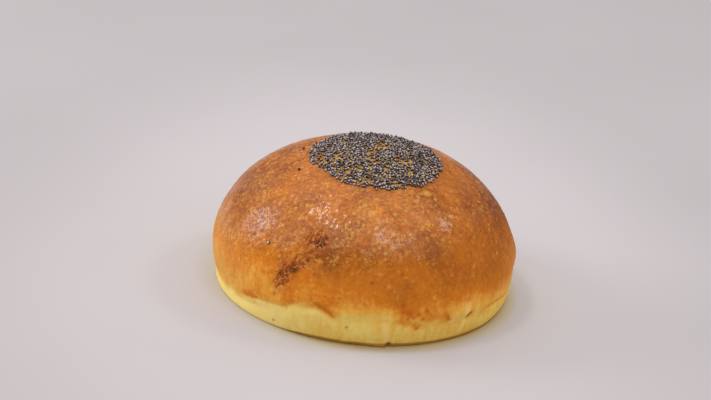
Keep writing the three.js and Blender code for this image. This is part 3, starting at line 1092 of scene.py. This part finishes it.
def runTree(name, bed, tree, identifiers, values):
    # evaluates the tree on a bed mesh and keeps the result as a plain mesh
    holder = bpy.data.objects.new(name + "Bed", bed)
    bpy.context.scene.collection.objects.link(holder)
    modifier = holder.modifiers.new("seeds", "NODES")
    modifier.node_group = tree
    for inputName, value in values.items():
        modifier[identifiers[inputName]] = value
    depsgraph = bpy.context.evaluated_depsgraph_get()
    depsgraph.update()
    mesh = bpy.data.meshes.new_from_object(holder.evaluated_get(depsgraph))
    holder.modifiers.remove(modifier)
    bpy.data.objects.remove(holder)
    mesh.name = name
    return mesh


crustTree = BVHTree.FromPolygons([v.co for v in roll.data.vertices], [p.vertices for p in roll.data.polygons])


def onCrust(x, y):
    # the point of the crust straight below
    return crustTree.ray_cast(Vector((x, y, 2 * crownHeight)), Vector((0, 0, -1)))[0]


def makeSeedBed():
    # a disc laid on the crown where the baker pressed the roll into the seeds
    patchRadius = (patchHigh.x - patchLow.x) / 2 - seedPatch["rimInset"] * mm
    rings, sides = 36, 150
    points, cover = [], []
    for ring in range(rings + 1):
        for side in range(sides):
            around = 2 * math.pi * side / sides
            factor = 1.0
            for share, times, peak in seedPatch["edgeWaves"]:
                factor += share * math.cos(times * (around - math.radians(peak)))
            reach = patchRadius * ring / rings * factor
            x = patchMiddle.x + reach * math.cos(around)
            y = patchMiddle.y + reach * math.sin(around)
            points.append(onCrust(x, y))
            full = 1.0
            for thinX, thinY, reachX, reachY, bare in seedPatch["thinPlaces"]:
                away = math.hypot((x / mm - thinX) / reachX, (y / mm - thinY) / reachY)
                full *= 1 - bare * math.exp(-away * away)
            # small gaps all over
            streaky = noise.fractal(Vector((x, y * 1.3, 0)) / (1.6 * mm), 1.0, 2.0, 2)
            full *= 1 - 0.6 * min(1.0, max(0.0, (streaky - 0.1) / 0.25))
            cover.append(full)
    faces = []
    for ring in range(rings):
        for side in range(sides):
            after = (side + 1) % sides
            low, high = ring * sides, (ring + 1) * sides
            faces.append((low + side, high + side, high + after, low + after))
    bed = bpy.data.meshes.new("seedBed")
    bed.from_pydata(points, [], faces)
    bed.attributes.new("cover", "FLOAT", "POINT").data.foreach_set("value", np.array(cover, np.float32))
    return bed


seedRise = (seedPatch["seedWidth"] / 2 - seedPatch["sink"]) * mm
seedShell = makeSeedMaterial()
seedTree, seedInputs = makeSeedTree(seedShell)
patchMesh = runTree("poppySeedPatch", makeSeedBed(), seedTree, seedInputs, {
    "Seed Length": seedPatch["seedLength"] * mm,
    "Seed Width": seedPatch["seedWidth"] * mm,
    "Seed Bend": seedPatch["seedBend"],
    "Spacing": seedPatch["spacing"] * mm,
    "Upper Spacing": seedPatch["upperSpacing"] * mm,
    "Rise": seedRise,
    "Seed": seedPatch["seed"],
})
patchSeeds = bpy.data.objects.new("poppySeedPatch", patchMesh)
bpy.context.scene.collection.objects.link(patchSeeds)
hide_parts("poppy_seed_patch")
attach(patchSeeds, "root")
facesPerSeed = seedPatch["seedSegments"] * seedPatch["seedRings"]
patchFaces = len(patchMesh.polygons)
print("bread roll: seed patch", patchFaces, "faces,", patchFaces // facesPerSeed, "seeds")


# stray seeds, each where its CAD node lies

straySeeds = [
    # how far each is turned, in radians, how much bloom and painted light its upper side takes, and its tone
    # from 0, umber, to 1, slate
    (0.6, 0.3, 0.15),
    (-0.35, 0.5, 0.5),
    (1.2, 1.0, 0.85),
]


def straySeedShape():
    # the same kidney as in the patch, in millimetres and with more faces
    long, wide = seedPatch["seedLength"], seedPatch["seedWidth"]
    halfThick = 0.5 * seedPatch["seedThickness"] * wide
    rings, sides = 8, 12
    points = []
    for ring in range(1, rings):
        up = math.pi * ring / rings
        for side in range(sides):
            around = 2 * math.pi * side / sides
            x = 0.5 * math.sin(up) * math.cos(around)
            y = 0.5 * math.sin(up) * math.sin(around) - seedPatch["seedBend"] * x * x
            points.append((x * long, y * wide, halfThick * math.cos(up)))
    top = len(points)
    points += [(0, 0, halfThick), (0, 0, -halfThick)]
    faces = []
    last = (rings - 2) * sides
    for side in range(sides):
        after = (side + 1) % sides
        faces.append((top, side, after))
        faces.append((top + 1, last + after, last + side))
        for ring in range(rings - 2):
            low, high = ring * sides, (ring + 1) * sides
            faces.append((low + side, high + side, high + after, low + after))
    return points, faces


def makeStraySeed(number, turn, bloomAndPaintedLight, tone):
    low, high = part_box(f"stray_seed_{number}")
    place, facing, _, _ = crustTree.find_nearest((low + high) / 2)
    pose = Matrix.Translation(place + facing * seedRise) @ facing.to_track_quat("Z", "Y").to_matrix().to_4x4()
    pose = pose @ Matrix.Rotation(turn, 4, "Z") @ Matrix.Scale(mm, 4)
    points, faces = straySeedShape()
    mesh = bpy.data.meshes.new(f"straySeed{number}")
    mesh.from_pydata([pose @ Vector(p) for p in points], [], faces)
    mesh.shade_smooth()
    backs = [bloomAndPaintedLight * p[2] / seedPatch["seedWidth"] for p in points]
    for name, values in (("seedTone", [tone] * len(points)), ("seedBack", backs)):
        mesh.attributes.new(name, "FLOAT", "POINT").data.foreach_set("value", values)
    mesh.materials.append(seedShell)
    seed = bpy.data.objects.new(f"straySeed{number}", mesh)
    bpy.context.scene.collection.objects.link(seed)
    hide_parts(f"stray_seed_{number}")
    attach(seed, "root")


for number, (turn, bloomAndPaintedLight, tone) in enumerate(straySeeds, 1):
    makeStraySeed(number, turn, bloomAndPaintedLight, tone)
print("bread roll: stray seeds placed")


# floor, light and camera

studio = {
    "floorSize": 3.0,
    "floorColour": (0.483, 0.475, 0.478),
    "paintedWarmShadowColour": (0.45, 0.36, 0.06),  # painted warm shadow on the sheet beside the roll, as if lit by the crust
    "paintedWarmShadowReach": 5.5,  # mm
    "paintedWarmShadowStrength": 0.8,
    # painted light falloff towards the rim of the sheet: from and to, in metres, and how bright there
    "rimReach": (0.045, 0.14),
    "rimBrightness": (1.04, 0.87),
    "worldColour": (1.0, 0.94, 0.95),
    "worldStrength": 1.0,
    "mirroredStrength": 0.1,  # the glaze mirrors a darker room between the lamps
    "lampColour": (1.0, 0.93, 0.95),
    "lampDistance": 1.6,
    # direction that the light comes from, width, watts
    "lamps": [
        ((-0.86, 0.16, 0.40), 0.76, 8.6),
        ((-0.39, 0.0, 0.92), 0.30, 3.7),
        ((0.25, -0.26, 0.92), 0.40, 2.1),
        ((0.63, 0.20, 0.75), 0.30, 2.5),
    ],
}


def makePaper():
    material, tree, shader = newMaterial("plainPaper")
    place = addNode(tree, "ShaderNodeTexCoord", (-900, 0)).outputs["Object"]
    shade = fade(tree, (-500, 100), cloud(tree, (-700, 100), place, 0.12, 2.0), 0.3, 0.7)
    base = studio["floorColour"]
    darker = tuple(0.97 * c for c in base)
    paper = mixColours(tree, (-300, 100), shade, opaque(base), opaque(darker))

    # painted light: an oval, longer from front to back, that is brightest round the roll
    oval = addNode(tree, "ShaderNodeMapping", (-900, 800),
                   {"Vector": place, "Location": (0.0, -0.018, 0.0), "Scale": (1.0, 0.6, 1.0)})
    outward = addNode(tree, "ShaderNodeVectorMath", (-700, 800), {0: oval.outputs[0]}, operation="LENGTH")
    toRim = fade(tree, (-500, 800), outward.outputs["Value"], *studio["rimReach"], *studio["rimBrightness"])
    paper = addNode(tree, "ShaderNodeVectorMath", (-200, 300), {0: paper, 3: toRim}, operation="SCALE")

    # painted warm shadow close to the roll, as if lit by light off the crust, least on the left
    fromMiddle = addNode(tree, "ShaderNodeVectorMath", (-700, 400), {0: place}, operation="LENGTH")
    close = addNode(tree, "ShaderNodeMapRange", (-500, 400), {
        "Value": fromMiddle.outputs["Value"], "From Min": footRadius + studio["paintedWarmShadowReach"] * mm,
        "From Max": footRadius + 0.4 * mm, "To Max": studio["paintedWarmShadowStrength"]})
    parts = addNode(tree, "ShaderNodeSeparateXYZ", (-700, 600), {0: place})
    fromLeft = fade(tree, (-500, 600), parts.outputs[0], -38 * mm, -5 * mm, 0.15, 1.0)
    paintedWarmShadow = maths(tree, "MULTIPLY", (-300, 400), close.outputs[0], fromLeft)
    colour = mixColours(tree, (-100, 200), paintedWarmShadow, paper.outputs[0], opaque(studio["paintedWarmShadowColour"]))
    tree.links.new(colour, shader.inputs["Base Color"])
    shader.inputs["Roughness"].default_value = 0.8
    shader.inputs["Specular IOR Level"].default_value = 0.2
    grain = cloud(tree, (-700, -200), place, 1.2 * mm, 4.0, 0.6)
    relief = addNode(tree, "ShaderNodeBump", (-300, -200),
                     {"Height": grain, "Strength": 0.15, "Distance": 0.1 * mm})
    tree.links.new(relief.outputs[0], shader.inputs["Normal"])
    return material


def makeFloor():
    half = studio["floorSize"] / 2
    mesh = bpy.data.meshes.new("paperSheet")
    corners = [(-half, -half, 0), (half, -half, 0), (half, half, 0), (-half, half, 0)]
    mesh.from_pydata(corners, [], [(0, 1, 2, 3)])
    mesh.materials.append(makePaper())
    floor = bpy.data.objects.new("paperSheet", mesh)
    bpy.context.scene.collection.objects.link(floor)


def lightStudio():
    world = bpy.data.worlds.new("studio")
    bpy.context.scene.world = world
    world.use_nodes = True
    tree = world.node_tree
    sky = tree.nodes["Background"]
    sky.inputs["Color"].default_value = opaque(studio["worldColour"])
    mirrored = addNode(tree, "ShaderNodeLightPath", (-600, 0)).outputs["Is Glossy Ray"]
    strength = addNode(tree, "ShaderNodeMapRange", (-300, 0), {
        "Value": mirrored, "To Min": studio["worldStrength"], "To Max": studio["mirroredStrength"]})
    tree.links.new(strength.outputs[0], sky.inputs["Strength"])
    middle = Vector((0, 0, 0.02))
    for number, (direction, width, power) in enumerate(studio["lamps"], 1):
        lamp = bpy.data.lights.new(f"softBox{number}", "AREA")
        lamp.shape = "DISK"
        lamp.size = width
        lamp.energy = power
        lamp.color = studio["lampColour"]
        holder = bpy.data.objects.new(lamp.name, lamp)
        holder.location = middle + Vector(direction).normalized() * studio["lampDistance"]
        holder.rotation_euler = (holder.location - middle).to_track_quat("Z", "Y").to_euler()
        bpy.context.scene.collection.objects.link(holder)


view = {
    "place": (-0.00384, -0.40444, 0.18873),
    "tilt": 22.0,  # degrees below level
    "roll": 5.63,
    "lens": 75.0,
}


def placeCamera():
    data = bpy.data.cameras.new("camera")
    data.lens = view["lens"]
    data.sensor_width = 36.0
    data.clip_start = 0.01
    camera = bpy.data.objects.new("camera", data)
    level = Euler((math.radians(90 - view["tilt"]), 0, 0)).to_matrix()
    turned = level @ Matrix.Rotation(math.radians(view["roll"]), 3, "Z")
    camera.location = view["place"]
    camera.rotation_euler = turned.to_euler()
    bpy.context.scene.collection.objects.link(camera)
    bpy.context.scene.camera = camera


makeFloor()
lightStudio()
placeCamera()
bpy.context.scene.view_settings.view_transform = "Standard"
print("bread roll: floor, lights and camera ready")
